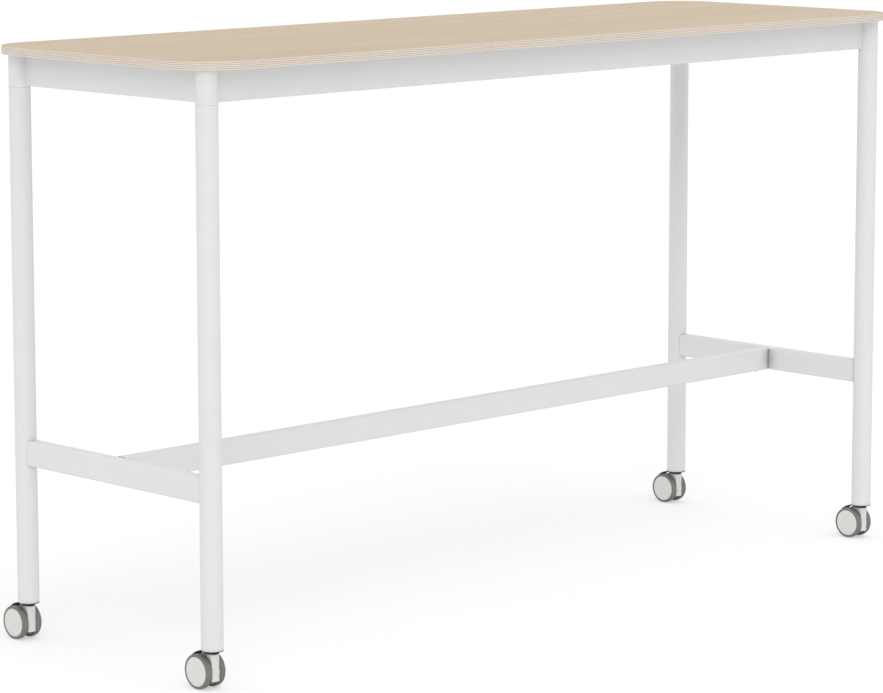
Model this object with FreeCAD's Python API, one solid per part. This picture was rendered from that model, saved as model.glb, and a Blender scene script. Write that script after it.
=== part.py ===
"""Mobile high table: a plywood top on a welded and bolted tube frame with four braked twin-wheel castors.

Millimetres. +X runs along the table, +Y to its back, +Z up.
The origin is on the floor under the table's middle.
"""
import FreeCAD
import Part
import math
import os

V = FreeCAD.Vector

# Table top
TOP_LENGTH = 1900.0
TOP_DEPTH = 620.0
TOP_THICKNESS = 15.0
TOP_CORNER_RADIUS = 95.0
TOP_EDGE_ROUND = 0.8
TABLE_HEIGHT = 1105.0

# Legs
LEG_DIAMETER = 40.0
LEG_WALL = 2.0
LEG_INSET = 50.0

# Apron rails under the top
RAIL_HEIGHT = 59.0
RAIL_THICKNESS = 20.0
RAIL_WALL = 2.0
RAIL_EDGE_ROUND = 1.2
RAIL_FACE_OUTSET = 0.5

# Corner castings: a post over each leg, a neck that each rail butts on and an arm inside the rail
SEAM_DROP = 2.2
NECK_LENGTH = 11.7
ARM_LENGTH = 44.0
ARM_CLEARANCE = 0.1
SPIGOT_LENGTH = 40.0
SPIGOT_CLEARANCE = 0.1

# Leg bolt and the threaded plug in the leg's top end
LEG_BOLT_DIAMETER = 8.0
LEG_BOLT_HEAD_DIAMETER = 13.0
LEG_BOLT_HEAD_HEIGHT = 8.0
LEG_PLUG_LENGTH = 20.0
HOLE_CLEARANCE = 0.25
THREAD_CLEARANCE = 0.05

# Screws that hold the rails on the arms, and the brackets to rails and top
RAIL_SCREW_DIAMETER = 6.0
RAIL_SCREW_DEPTH = 11.0
RAIL_SCREW_SETBACK = 18.0
BRACKET_LEG = 30.0
BRACKET_WIDTH = 32.0
BRACKET_THICKNESS = 2.5
BRACKET_SPACING = 600.0
BRACKET_WALL_SCREW_SHARE = 0.55
BRACKET_TOP_SCREW_SHARE = 0.6
BRACKET_SCREW_DIAMETER = 5.0
BRACKET_SCREW_DEPTH = 8.0
TOP_SCREW_DIAMETER = 4.0
TOP_SCREW_DEPTH = 12.0
HEAD_RATIO = 1.8
HEAD_HEIGHT = 2.6
HEAD_ROUND = 0.85

# Footrest: two end bars between the legs and one stretcher between the bars
FOOTREST_TOP = 378.0
FOOTREST_HEIGHT = 47.0
FOOTREST_THICKNESS = 23.0
FOOTREST_WALL = 2.0
FOOTREST_EDGE_ROUND = 3.0
WELD_GAP = 0.05
CONNECTOR_LENGTH = 60.0
CONNECTOR_SCREW_DIAMETER = 6.0
CONNECTOR_SCREW_DEPTH = 12.0

# Castor: plate height and wheels
CASTOR_HEIGHT = 71.0
CASTOR_TRAIL = 20.0
WHEEL_DIAMETER = 63.0
TREAD_THICKNESS = 5.2
TREAD_WIDTH = 12.0
TREAD_SHOULDER = 2.2
WHEEL_SIDE_GAP = 0.5
CAP_PROUD = 0.3
CAP_DISH = 0.4
CAP_FACE_INSET = 4.4
CAP_LIP_INSET = 1.1
WHEEL_WALL = 2.0
WHEEL_FACE_THICKNESS = 3.0
WHEEL_HUB_DIAMETER = 16.0
AXLE_DIAMETER = 8.0
AXLE_INSET = 2.8
RUNNING_CLEARANCE = 0.05

# Castor: hood, stem, collar and clip
HOOD_WIDTH = 18.0
HOOD_RIM_INSET = 2.0
HOOD_BOSS_DIAMETER = 24.0
HOOD_BOTTOM = 16.0
HOOD_EDGE_ROUND = 0.8
COLLAR_PLATE = 1.2
COLLAR_NECK = 4.5
COLLAR_GAP = 0.3
STEM_DIAMETER = 9.0
STEM_BOTTOM = 26.0
CLIP_THICKNESS = 1.0
CLIP_WIDTH = 2.6
CLIP_GROOVE = 0.6
CLIP_LEDGE = 3.0
CLIP_MOUTH = 4.0

# Castor: socket in the leg's foot
GRIP_DIAMETER = 11.0
GRIP_LENGTH = 34.0
SOCKET_FLANGE = 3.5
SOCKET_FLANGE_ROUND = 1.6
SOCKET_PLUG_LENGTH = 42.0

# Castor: brake pedal, hinged on the axle between the wheels
PEDAL_WIDTH = 24.0
PEDAL_THICKNESS = 1.6
PEDAL_TREAD_GAP = 0.7
PEDAL_BEND_OFFSET = 8.2
PEDAL_BEND_ANGLE = 31.6
PEDAL_LOW_ANGLE = 14.0
PEDAL_HIGH_ANGLE = 77.0
PEDAL_WEB_THICKNESS = 6.0
PEDAL_WEB_LOW_ANGLE = 20.0
PEDAL_WEB_HIGH_ANGLE = 50.0
PEDAL_HUB_DIAMETER = 15.0
PEDAL_STROKE = 15.0
PEDAL_SLOT_GAP = 0.4
PEDAL_SLOT_MARGIN = 4.0
PEDAL_EDGE_ROUND = 0.5

# Places worked out from the driving dimensions
LEG_X = TOP_LENGTH / 2 - LEG_INSET
LEG_Y = TOP_DEPTH / 2 - LEG_INSET
LEG_RADIUS = LEG_DIAMETER / 2
LEG_BORE = LEG_RADIUS - LEG_WALL
UNDERSIDE = TABLE_HEIGHT - TOP_THICKNESS
RAIL_BOTTOM = UNDERSIDE - RAIL_HEIGHT
RAIL_MIDDLE = UNDERSIDE - RAIL_HEIGHT / 2
RAIL_INNER = RAIL_THICKNESS - RAIL_FACE_OUTSET
SEAM = RAIL_BOTTOM - SEAM_DROP
RAIL_START = max(LEG_RADIUS, RAIL_INNER) + NECK_LENGTH
ARM_END = RAIL_START + ARM_LENGTH
RAIL_SCREW_PLACE = RAIL_START + RAIL_SCREW_SETBACK
FOOTREST_BOTTOM = FOOTREST_TOP - FOOTREST_HEIGHT
STRETCHER_END = LEG_X - FOOTREST_THICKNESS / 2
WHEEL_RADIUS = WHEEL_DIAMETER / 2
RIM_RADIUS = WHEEL_RADIUS - TREAD_THICKNESS
WHEEL_INNER = HOOD_WIDTH / 2 + WHEEL_SIDE_GAP
TREAD_OUTER = WHEEL_INNER + TREAD_WIDTH
CAP_OUTER = TREAD_OUTER + CAP_PROUD
AXLE_END = CAP_OUTER - AXLE_INSET
AXLE_RADIUS = AXLE_DIAMETER / 2
HOOD_RADIUS = WHEEL_RADIUS - HOOD_RIM_INSET
HOOD_TOP = CASTOR_HEIGHT - COLLAR_PLATE - COLLAR_NECK - COLLAR_GAP
STEM_RADIUS = STEM_DIAMETER / 2
CLIP_TOP = STEM_BOTTOM + CLIP_LEDGE + CLIP_THICKNESS
PEDAL_INNER = WHEEL_RADIUS + PEDAL_TREAD_GAP
PEDAL_BEND = PEDAL_INNER + PEDAL_BEND_OFFSET
AXLE_CENTRE = V(0, CASTOR_TRAIL, WHEEL_RADIUS)
TOLERANCE = 1e-6
ALONG_X = V(1, 0, 0)
ALONG_Y = V(0, 1, 0)
ALONG_Z = V(0, 0, 1)

CORNERS = {
    "front_left": (-1, -1),
    "front_right": (1, -1),
    "back_left": (-1, 1),
    "back_right": (1, 1),
}


def box(low, high):
    """A box between two opposite corners."""
    size = V(*high) - V(*low)
    return Part.makeBox(size.x, size.y, size.z, V(*low))


def rod(radius, low, high, centre=(0, 0)):
    """An upright cylinder between two heights."""
    return Part.makeCylinder(radius, high - low, V(centre[0], centre[1], low))


def edges_along(shape, direction):
    """The straight edges of a shape that run along a direction."""
    found = []
    for edge in shape.Edges:
        if isinstance(edge.Curve, Part.Line):
            if abs(abs(edge.Curve.Direction.dot(direction)) - 1) < TOLERANCE:
                found.append(edge)
    return found


def circles_at(shape, axis, place):
    """The round edges of a shape that lie in the plane at a place along an axis."""
    found = []
    for edge in shape.Edges:
        if isinstance(edge.Curve, Part.Circle) and abs(edge.Curve.Center.dot(axis) - place) < TOLERANCE:
            found.append(edge)
    return found


def mirrored(shape, signs):
    """A front-left shape mirrored to the corner with these signs."""
    if signs[0] > 0:
        shape = shape.mirror(V(0, 0, 0), ALONG_X)
    if signs[1] > 0:
        shape = shape.mirror(V(0, 0, 0), ALONG_Y)
    return shape


def leg_axis(signs):
    """The point on the floor under a leg."""
    return V(signs[0] * LEG_X, signs[1] * LEG_Y, 0)


def at_legs(shape):
    """A group with one copy of an upright piece under or in each leg."""
    return Part.makeCompound([shape.translated(leg_axis(signs)) for signs in CORNERS.values()])


def rect_tube(length, height, thickness, wall, edge_round):
    """A rectangular tube along X from 0, standing on z = 0, with its middle on y = 0."""
    half = thickness / 2
    outer = box((0, -half, 0), (length, half, height))
    outer = outer.makeFillet(edge_round, edges_along(outer, ALONG_X))
    return outer.cut(box((0, -half + wall, wall), (length, half - wall, height - wall)))


def screw(diameter, depth):
    """A pan-head screw along +Z with its head under z = 0."""
    head = Part.makeCylinder(diameter * HEAD_RATIO / 2, HEAD_HEIGHT, V(0, 0, -HEAD_HEIGHT))
    head = head.makeFillet(HEAD_ROUND, circles_at(head, ALONG_Z, -HEAD_HEIGHT))
    return head.fuse(Part.makeCylinder(diameter / 2, depth)).removeSplitter()


def hole(diameter, depth, clearance):
    """The hole that takes a screw's shank, from z = 0 to just past its tip."""
    return Part.makeCylinder(diameter / 2 + clearance, depth + clearance)


def turned(shape, z_axis, place):
    """A shape made along +Z, turned to run along another axis and moved to its place."""
    moved = shape.copy()
    moved.Placement = FreeCAD.Placement(place, FreeCAD.Rotation(ALONG_Z, z_axis))
    return moved


# Rails, corner castings and legs

def rail_screw_places():
    """Point and direction of each screw through a rail's inner wall into a corner arm."""
    places = []
    for sx, sy in CORNERS.values():
        along = V(sx * (LEG_X - RAIL_SCREW_PLACE), sy * (LEG_Y - RAIL_INNER), RAIL_MIDDLE)
        across = V(sx * (LEG_X - RAIL_INNER), sy * (LEG_Y - RAIL_SCREW_PLACE), RAIL_MIDDLE)
        places.append((along, V(0, sy, 0)))
        places.append((across, V(sx, 0, 0)))
    return places


def bracket_places():
    """Point on a rail's inner face under the top, and the outward direction, for each bracket."""
    places = []
    for step in (-1, 0, 1):
        for sy in (-1, 1):
            places.append((V(step * BRACKET_SPACING, sy * (LEG_Y - RAIL_INNER), UNDERSIDE), V(0, sy, 0)))
    for sx in (-1, 1):
        places.append((V(sx * (LEG_X - RAIL_INNER), 0, UNDERSIDE), V(sx, 0, 0)))
    return places


def bracket_screw_place(place, outward):
    """Middle of a bracket's wall leg, on the side away from the rail."""
    return place - outward * BRACKET_THICKNESS - ALONG_Z * BRACKET_LEG * BRACKET_WALL_SCREW_SHARE


def top_screw_place(place, outward):
    """Middle of a bracket's top leg, on its lower side."""
    return place - outward * BRACKET_LEG * BRACKET_TOP_SCREW_SHARE - ALONG_Z * BRACKET_THICKNESS


def top_brackets():
    """Steel angles that hold the top on the rails."""
    wall_leg = box((-BRACKET_WIDTH / 2, 0, -BRACKET_LEG), (BRACKET_WIDTH / 2, BRACKET_THICKNESS, 0))
    top_leg = box((-BRACKET_WIDTH / 2, 0, -BRACKET_THICKNESS), (BRACKET_WIDTH / 2, BRACKET_LEG, 0))
    angle = wall_leg.fuse(top_leg).removeSplitter()
    solids = []
    for place, outward in bracket_places():
        turn = math.degrees(math.atan2(outward.x, -outward.y))
        bracket = angle.copy()
        bracket.Placement = FreeCAD.Placement(place, FreeCAD.Rotation(ALONG_Z, turn))
        wall_hole = hole(BRACKET_SCREW_DIAMETER, BRACKET_SCREW_DEPTH, HOLE_CLEARANCE)
        top_hole = hole(TOP_SCREW_DIAMETER, TOP_SCREW_DEPTH, HOLE_CLEARANCE)
        bracket = bracket.cut(turned(wall_hole, outward, bracket_screw_place(place, outward)))
        bracket = bracket.cut(turned(top_hole, ALONG_Z, top_screw_place(place, outward)))
        solids.append(bracket)
    return Part.makeCompound(solids)


def screw_group(diameter, depth, places):
    """A group of like screws, one at each point and direction."""
    shape = screw(diameter, depth)
    return Part.makeCompound([turned(shape, direction, point) for point, direction in places])


def bracket_screws():
    """Screws from the brackets into the rails."""
    places = [(bracket_screw_place(place, outward), outward) for place, outward in bracket_places()]
    return screw_group(BRACKET_SCREW_DIAMETER, BRACKET_SCREW_DEPTH, places)


def top_screws():
    """Screws from the brackets up into the top."""
    places = [(top_screw_place(place, outward), ALONG_Z) for place, outward in bracket_places()]
    return screw_group(TOP_SCREW_DIAMETER, TOP_SCREW_DEPTH, places)


def rail_screws():
    """Screws from the rails into the corner arms."""
    return screw_group(RAIL_SCREW_DIAMETER, RAIL_SCREW_DEPTH, rail_screw_places())


def drilled(rail):
    """A rail with its holes for the arm screws and the bracket screws."""
    for point, direction in rail_screw_places():
        rail = rail.cut(turned(hole(RAIL_SCREW_DIAMETER, RAIL_SCREW_DEPTH, HOLE_CLEARANCE), direction, point))
    for place, outward in bracket_places():
        drill = hole(BRACKET_SCREW_DIAMETER, BRACKET_SCREW_DEPTH, THREAD_CLEARANCE)
        rail = rail.cut(turned(drill, outward, bracket_screw_place(place, outward)))
    return rail


def long_rail(side):
    """The front or back rail, between the left and right corner castings."""
    length = 2 * (LEG_X - RAIL_START)
    rail = rect_tube(length, RAIL_HEIGHT, RAIL_THICKNESS, RAIL_WALL, RAIL_EDGE_ROUND)
    middle = side * (LEG_Y + RAIL_FACE_OUTSET - RAIL_THICKNESS / 2)
    return drilled(rail.translated(V(-length / 2, middle, RAIL_BOTTOM)))


def end_rail(side):
    """The left or right rail, between the front and back corner castings."""
    length = 2 * (LEG_Y - RAIL_START)
    rail = rect_tube(length, RAIL_HEIGHT, RAIL_THICKNESS, RAIL_WALL, RAIL_EDGE_ROUND)
    rail.rotate(V(0, 0, 0), ALONG_Z, 90)
    middle = side * (LEG_X + RAIL_FACE_OUTSET - RAIL_THICKNESS / 2)
    return drilled(rail.translated(V(middle, -length / 2, RAIL_BOTTOM)))


def rail_neck():
    """A front-left corner's neck and arm for the front rail, with the leg axis at x = y = 0."""
    outer = -RAIL_FACE_OUTSET
    inner = RAIL_INNER
    neck = box((0, outer, RAIL_BOTTOM), (RAIL_START, inner, UNDERSIDE))
    neck = neck.makeFillet(RAIL_EDGE_ROUND, edges_along(neck, ALONG_X))
    inset = RAIL_WALL + ARM_CLEARANCE
    arm = box((RAIL_START, outer + inset, RAIL_BOTTOM + inset), (ARM_END, inner - inset, UNDERSIDE - inset))
    return neck.fuse(arm)


def swapped(shape):
    """A shape with its X and Y exchanged."""
    return shape.mirror(V(0, 0, 0), V(1, -1, 0))


def corner_casting(signs):
    """A corner: post over the leg, spigot in the leg, neck and arm for each rail, and the bolt's bore."""
    post = rod(LEG_RADIUS, SEAM, UNDERSIDE)
    spigot = rod(LEG_BORE - SPIGOT_CLEARANCE, SEAM - SPIGOT_LENGTH, SEAM)
    neck = rail_neck()
    casting = post.fuse([spigot, neck, swapped(neck)])
    bore = rod(LEG_BOLT_DIAMETER / 2 + HOLE_CLEARANCE, SEAM - SPIGOT_LENGTH, UNDERSIDE)
    head = rod(LEG_BOLT_HEAD_DIAMETER / 2 + HOLE_CLEARANCE, UNDERSIDE - LEG_BOLT_HEAD_HEIGHT, UNDERSIDE)
    casting = casting.cut(bore).cut(head).removeSplitter()
    casting = mirrored(casting.translated(leg_axis((-1, -1))), signs)
    for point, direction in rail_screw_places():
        drill = hole(RAIL_SCREW_DIAMETER, RAIL_SCREW_DEPTH, THREAD_CLEARANCE)
        casting = casting.cut(turned(drill, direction, point))
    return casting


def leg(signs):
    """A round tube from the castor socket's flange to the corner casting."""
    foot = CASTOR_HEIGHT + SOCKET_FLANGE
    tube = rod(LEG_RADIUS, foot, SEAM).cut(rod(LEG_BORE, foot, SEAM))
    return tube.translated(leg_axis(signs))


def leg_plugs():
    """Threaded steel plugs fixed in the legs' top ends, just under the spigots."""
    top = SEAM - SPIGOT_LENGTH
    plug = rod(LEG_BORE, top - LEG_PLUG_LENGTH, top)
    plug = plug.cut(rod(LEG_BOLT_DIAMETER / 2 + THREAD_CLEARANCE, top - LEG_PLUG_LENGTH, top))
    return at_legs(plug)


def leg_bolts():
    """Socket-head bolts that pull the legs up to the corner castings."""
    seat = UNDERSIDE - LEG_BOLT_HEAD_HEIGHT
    head = rod(LEG_BOLT_HEAD_DIAMETER / 2, seat, UNDERSIDE)
    shank = rod(LEG_BOLT_DIAMETER / 2, SEAM - SPIGOT_LENGTH - LEG_PLUG_LENGTH, seat)
    return at_legs(head.fuse(shank).removeSplitter())


def table_top():
    """The plywood board with round corners, eased edges and blind holes for its screws."""
    board = box((-TOP_LENGTH / 2, -TOP_DEPTH / 2, UNDERSIDE), (TOP_LENGTH / 2, TOP_DEPTH / 2, TABLE_HEIGHT))
    board = board.makeFillet(TOP_CORNER_RADIUS, edges_along(board, ALONG_Z))
    rims = [edge for edge in board.Edges if abs(edge.BoundBox.ZLength) < TOLERANCE]
    board = board.makeFillet(TOP_EDGE_ROUND, rims)
    for place, outward in bracket_places():
        drill = hole(TOP_SCREW_DIAMETER, TOP_SCREW_DEPTH, THREAD_CLEARANCE)
        board = board.cut(turned(drill, ALONG_Z, top_screw_place(place, outward)))
    return board


# Footrest

def footrest_bar(side):
    """An end bar along Y between two legs, cut round to sit against them."""
    bar = rect_tube(2 * LEG_Y, FOOTREST_HEIGHT, FOOTREST_THICKNESS, FOOTREST_WALL, FOOTREST_EDGE_ROUND)
    bar.rotate(V(0, 0, 0), ALONG_Z, 90)
    bar = bar.translated(V(side * LEG_X, -LEG_Y, FOOTREST_BOTTOM))
    for end in (-1, 1):
        bar = bar.cut(rod(LEG_RADIUS + WELD_GAP, FOOTREST_BOTTOM, FOOTREST_TOP, (side * LEG_X, end * LEG_Y)))
    return bar


def connector_screw_places():
    """Point and direction of each screw up through the stretcher's floor into its connectors."""
    middle = STRETCHER_END - CONNECTOR_LENGTH / 2
    return [(V(side * middle, 0, FOOTREST_BOTTOM), ALONG_Z) for side in (-1, 1)]


def footrest_stretcher():
    """The long bar along X between the two end bars."""
    length = 2 * STRETCHER_END
    bar = rect_tube(length, FOOTREST_HEIGHT, FOOTREST_THICKNESS, FOOTREST_WALL, FOOTREST_EDGE_ROUND)
    bar = bar.translated(V(-STRETCHER_END, 0, FOOTREST_BOTTOM))
    for point, direction in connector_screw_places():
        drill = hole(CONNECTOR_SCREW_DIAMETER, CONNECTOR_SCREW_DEPTH, HOLE_CLEARANCE)
        bar = bar.cut(turned(drill, direction, point))
    return bar


def stretcher_connectors():
    """Solid blocks on the end bars that fill the stretcher's ends."""
    inset = FOOTREST_WALL + ARM_CLEARANCE
    half = FOOTREST_THICKNESS / 2 - inset
    solids = []
    for side in (-1, 1):
        ends = sorted((side * STRETCHER_END, side * (STRETCHER_END - CONNECTOR_LENGTH)))
        block = box((ends[0], -half, FOOTREST_BOTTOM + inset), (ends[1], half, FOOTREST_TOP - inset))
        for point, direction in connector_screw_places():
            drill = hole(CONNECTOR_SCREW_DIAMETER, CONNECTOR_SCREW_DEPTH, THREAD_CLEARANCE)
            block = block.cut(turned(drill, direction, point))
        solids.append(block)
    return Part.makeCompound(solids)


def stretcher_screws():
    """Screws that hold the stretcher on its connectors."""
    return screw_group(CONNECTOR_SCREW_DIAMETER, CONNECTOR_SCREW_DEPTH, connector_screw_places())


# Castors: every piece is made with the swivel axis at x = y = 0 and the floor at z = 0

def ring_sector(half_width, inner, outer, low_angle, high_angle, centre=AXLE_CENTRE):
    """A plate bent round the axle, or another centre, between two angles counted from +Y towards +Z."""
    inner_side = [V(-half_width, inner, 0), V(half_width, inner, 0)]
    outer_side = [V(half_width, outer, 0), V(-half_width, outer, 0)]
    face = Part.Face(Part.makePolygon(inner_side + outer_side + inner_side[:1]))
    face.translate(centre)
    face.rotate(centre, ALONG_X, low_angle)
    return face.revolve(centre, ALONG_X, high_angle - low_angle)


def axle_rod(radius, low, high):
    """A cylinder on the axle's line between two places along X."""
    return Part.makeCylinder(radius, high - low, AXLE_CENTRE + ALONG_X * low, ALONG_X)


def castor_hood():
    """The body between the wheels, with the stem's bore, the axle's bore and the pedal's slot."""
    half = HOOD_WIDTH / 2
    disc = axle_rod(HOOD_RADIUS, -half, half)
    rims = circles_at(disc, ALONG_X, half) + circles_at(disc, ALONG_X, -half)
    disc = disc.makeFillet(HOOD_EDGE_ROUND, rims)
    boss_radius = HOOD_BOSS_DIAMETER / 2
    boss = rod(boss_radius, 0, HOOD_TOP)
    boss = boss.makeFillet(HOOD_EDGE_ROUND, circles_at(boss, ALONG_Z, HOOD_TOP))
    boss = boss.common(box((-half, -boss_radius, 0), (half, boss_radius, HOOD_TOP)))
    hood = disc.fuse(boss)
    hood = hood.cut(box((-half, -WHEEL_DIAMETER, -WHEEL_RADIUS), (half, WHEEL_DIAMETER, HOOD_BOTTOM)))
    slot_half = PEDAL_WEB_THICKNESS / 2 + PEDAL_SLOT_GAP
    slot_low = PEDAL_WEB_LOW_ANGLE - PEDAL_STROKE - PEDAL_SLOT_MARGIN
    slot_high = PEDAL_WEB_HIGH_ANGLE + PEDAL_SLOT_MARGIN
    hood = hood.cut(ring_sector(slot_half, AXLE_RADIUS, WHEEL_RADIUS, slot_low, slot_high))
    hood = hood.cut(axle_rod(PEDAL_HUB_DIAMETER / 2 + PEDAL_SLOT_GAP, -slot_half, slot_half))
    hood = hood.cut(axle_rod(AXLE_RADIUS, -half, half))
    hood = hood.cut(rod(STEM_RADIUS + RUNNING_CLEARANCE, HOOD_BOTTOM, HOOD_TOP))
    clip_room = STEM_RADIUS + CLIP_WIDTH + COLLAR_GAP
    return hood.cut(rod(clip_room, HOOD_BOTTOM, CLIP_TOP + COLLAR_GAP)).removeSplitter()


def castor_axle():
    """The pin that carries both wheels and the pedal."""
    return axle_rod(AXLE_RADIUS, -AXLE_END, AXLE_END)


def castor_pedal():
    """The brake pedal: hub on the axle, web through the hood's slot, plate bent flatter than the wheels."""
    tilt = math.radians(PEDAL_BEND_ANGLE)
    bend_centre = AXLE_CENTRE - V(0, math.cos(tilt), math.sin(tilt)) * PEDAL_BEND_OFFSET
    outer = PEDAL_BEND + PEDAL_THICKNESS
    plate = ring_sector(PEDAL_WIDTH / 2, PEDAL_BEND, outer, PEDAL_LOW_ANGLE, PEDAL_HIGH_ANGLE, bend_centre)
    plate = plate.makeFillet(PEDAL_EDGE_ROUND, plate.Edges)
    web_half = PEDAL_WEB_THICKNESS / 2
    bore_radius = AXLE_RADIUS + RUNNING_CLEARANCE
    web_reach = PEDAL_INNER + PEDAL_THICKNESS / 2
    web = ring_sector(web_half, bore_radius, web_reach, PEDAL_WEB_LOW_ANGLE, PEDAL_WEB_HIGH_ANGLE)
    hub = axle_rod(PEDAL_HUB_DIAMETER / 2, -web_half, web_half)
    bore = axle_rod(bore_radius, -web_half, web_half)
    return plate.fuse([web, hub]).cut(bore).removeSplitter()


def turned_ring(points):
    """A solid of revolution about the axle from (place along X, radius) points."""
    corners = [AXLE_CENTRE + V(x, radius, 0) for x, radius in points]
    face = Part.Face(Part.makePolygon(corners + corners[:1]))
    return face.revolve(AXLE_CENTRE, ALONG_X, 360)


def right_wheel():
    """A closed wheel on the axle's right end: dished face, rim under the tread and a blind hub."""
    bore = AXLE_RADIUS + RUNNING_CLEARANCE
    hub = WHEEL_HUB_DIAMETER / 2
    back = CAP_OUTER - WHEEL_FACE_THICKNESS
    bore_end = AXLE_END + RUNNING_CLEARANCE
    return turned_ring([
        (CAP_OUTER - CAP_DISH, 0), (CAP_OUTER, RIM_RADIUS - CAP_FACE_INSET),
        (CAP_OUTER - CAP_DISH, RIM_RADIUS - CAP_LIP_INSET), (TREAD_OUTER, RIM_RADIUS),
        (WHEEL_INNER, RIM_RADIUS), (WHEEL_INNER, RIM_RADIUS - WHEEL_WALL),
        (back, RIM_RADIUS - WHEEL_WALL), (back, hub),
        (WHEEL_INNER, hub), (WHEEL_INNER, bore), (bore_end, bore), (bore_end, 0),
    ])


def right_tread():
    """The grey tread ring round the right wheel's rim."""
    tread = axle_rod(WHEEL_RADIUS, WHEEL_INNER, TREAD_OUTER)
    tread = tread.makeFillet(
        TREAD_SHOULDER,
        circles_at(tread, ALONG_X, WHEEL_INNER) + circles_at(tread, ALONG_X, TREAD_OUTER),
    )
    return tread.cut(axle_rod(RIM_RADIUS, WHEEL_INNER, TREAD_OUTER))


def castor_stem():
    """The steel pin that stands in the leg's socket and carries the hood on its clip."""
    grip = rod(GRIP_DIAMETER / 2, CASTOR_HEIGHT, CASTOR_HEIGHT + GRIP_LENGTH)
    shank = rod(STEM_RADIUS, STEM_BOTTOM, CASTOR_HEIGHT)
    groove = rod(STEM_RADIUS, CLIP_TOP - CLIP_THICKNESS, CLIP_TOP)
    groove = groove.cut(rod(STEM_RADIUS - CLIP_GROOVE, CLIP_TOP - CLIP_THICKNESS, CLIP_TOP))
    return grip.fuse(shank).cut(groove).removeSplitter()


def stem_clip():
    """The open spring clip in the stem's groove."""
    outer = STEM_RADIUS + CLIP_WIDTH
    low = CLIP_TOP - CLIP_THICKNESS
    ring = rod(outer, low, CLIP_TOP).cut(rod(STEM_RADIUS - CLIP_GROOVE, low, CLIP_TOP))
    return ring.cut(box((-CLIP_MOUTH / 2, -outer, low), (CLIP_MOUTH / 2, 0, CLIP_TOP)))


def castor_collar():
    """The black swivel collar: a thin plate under the leg and a neck on the hood."""
    plate_bottom = CASTOR_HEIGHT - COLLAR_PLATE
    neck_bottom = plate_bottom - COLLAR_NECK
    collar = rod(LEG_RADIUS, plate_bottom, CASTOR_HEIGHT)
    collar = collar.fuse(rod(HOOD_BOSS_DIAMETER / 2, neck_bottom, plate_bottom))
    return collar.cut(rod(STEM_RADIUS + THREAD_CLEARANCE, neck_bottom, CASTOR_HEIGHT)).removeSplitter()


def castor_socket(signs):
    """The plastic plug in a leg's foot that takes the castor's stem."""
    flange_top = CASTOR_HEIGHT + SOCKET_FLANGE
    flange = rod(LEG_RADIUS, CASTOR_HEIGHT, flange_top)
    flange = flange.makeFillet(SOCKET_FLANGE_ROUND, circles_at(flange, ALONG_Z, CASTOR_HEIGHT))
    plug = rod(LEG_BORE - SPIGOT_CLEARANCE, flange_top, flange_top + SOCKET_PLUG_LENGTH)
    socket = flange.fuse(plug).removeSplitter()
    grip_end = CASTOR_HEIGHT + GRIP_LENGTH + THREAD_CLEARANCE
    socket = socket.cut(rod(GRIP_DIAMETER / 2 + THREAD_CLEARANCE, CASTOR_HEIGHT, grip_end))
    return socket.translated(leg_axis(signs))


def castor_pieces():
    """The pieces of one castor that turn under its leg."""
    wheel = right_wheel()
    tread = right_tread()
    middle = V(0, 0, 0)
    return {
        "castor_hood": castor_hood(),
        "castor_axle": castor_axle(),
        "castor_brake_pedal": castor_pedal(),
        "castor_left_wheel": wheel.mirror(middle, ALONG_X),
        "castor_left_tread": tread.mirror(middle, ALONG_X),
        "castor_right_wheel": wheel,
        "castor_right_tread": tread,
    }


def pieces():
    """Every node of the table by name."""
    nodes = {
        "table_top": table_top(),
        "front_rail": long_rail(-1),
        "back_rail": long_rail(1),
        "left_end_rail": end_rail(-1),
        "right_end_rail": end_rail(1),
        "left_footrest_bar": footrest_bar(-1),
        "right_footrest_bar": footrest_bar(1),
        "footrest_stretcher": footrest_stretcher(),
        "stretcher_connectors": stretcher_connectors(),
        "stretcher_screws": stretcher_screws(),
        "leg_plugs": leg_plugs(),
        "leg_bolts": leg_bolts(),
        "rail_screws": rail_screws(),
        "top_brackets": top_brackets(),
        "bracket_screws": bracket_screws(),
        "top_screws": top_screws(),
        "castor_stems": at_legs(castor_stem()),
        "castor_collars": at_legs(castor_collar()),
        "stem_clips": at_legs(stem_clip()),
    }
    castor = castor_pieces()
    for corner, signs in CORNERS.items():
        nodes[corner + "_corner"] = corner_casting(signs)
        nodes[corner + "_leg"] = leg(signs)
        nodes[corner + "_castor_socket"] = castor_socket(signs)
        for name, shape in castor.items():
            nodes[corner + "_" + name] = shape.translated(leg_axis(signs))
    return nodes


os.makedirs("parts", exist_ok=True)
for name, shape in sorted(pieces().items()):
    shape.exportStep("parts/" + name + ".step")
    print(name, "solids", len(shape.Solids), "valid", shape.isValid(), "volume", round(shape.Volume, 1))
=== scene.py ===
"""The looks of a mobile high table: plywood top, white tube frame, low footrest and twin-wheel castors.

Metres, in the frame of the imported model: +X along the table, +Y to its back, +Z up, the floor at z = 0.
"""
import math

import bmesh
import bpy
from bpy.props import FloatProperty, FloatVectorProperty, IntProperty, PointerProperty
from bpy.types import Operator, Panel, PropertyGroup
from mathutils import Matrix, Vector


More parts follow.
